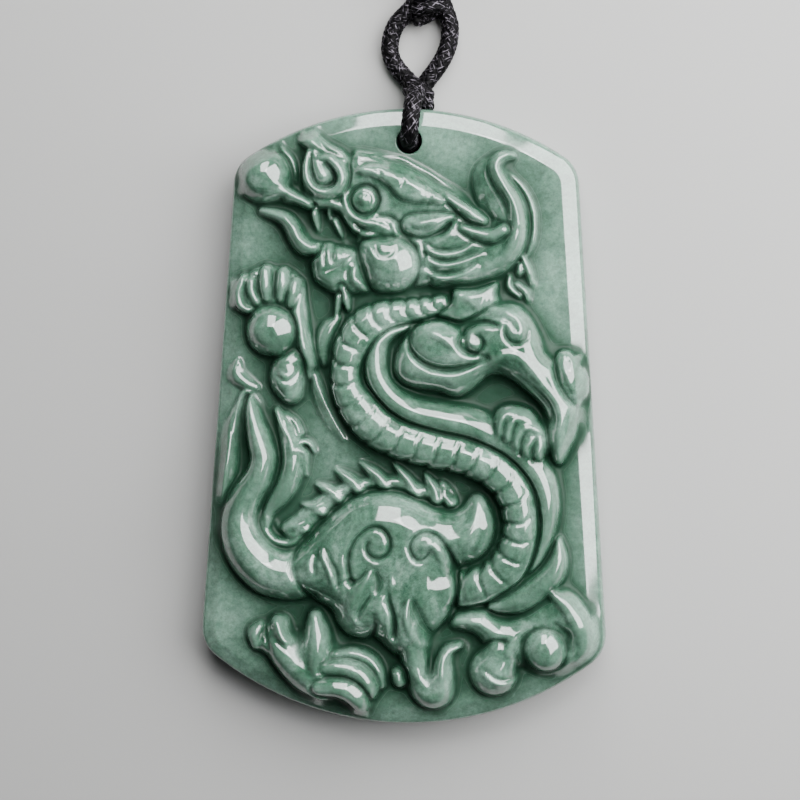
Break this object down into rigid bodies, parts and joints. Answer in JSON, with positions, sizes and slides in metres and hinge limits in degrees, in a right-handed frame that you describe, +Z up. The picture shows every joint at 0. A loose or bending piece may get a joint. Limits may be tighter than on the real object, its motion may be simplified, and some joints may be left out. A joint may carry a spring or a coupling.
{
  "type": "carved jade pendant",
  "caption": "Carved jade tablet with a coiled dragon in relief, drilled near its top edge and threaded on a knotted black cord; lies on its flat back.",
  "frame": {"origin": "middle of the tablet's outline, on its flat back face", "axes": "+Z up out of the carved front, +Y towards the drilled hole, +X to the right of the carving"},
  "size_m": [0.0408, 0.106, 0.0089],
  "materials": {
    "jade": "polished green jade with soft mottling",
    "cord": "black braided cord"
  },
  "bodies": {
    "root": {"jade_tablet": "jade", "cord_front": "cord", "cord_back": "cord", "knot_lower": "cord", "cord_left": "cord", "cord_right": "cord", "knot_upper": "cord", "cord_lead_out": "cord", "cord_lead_in": "cord", "cord_coil": "cord"}
  },
  "joints": []
}
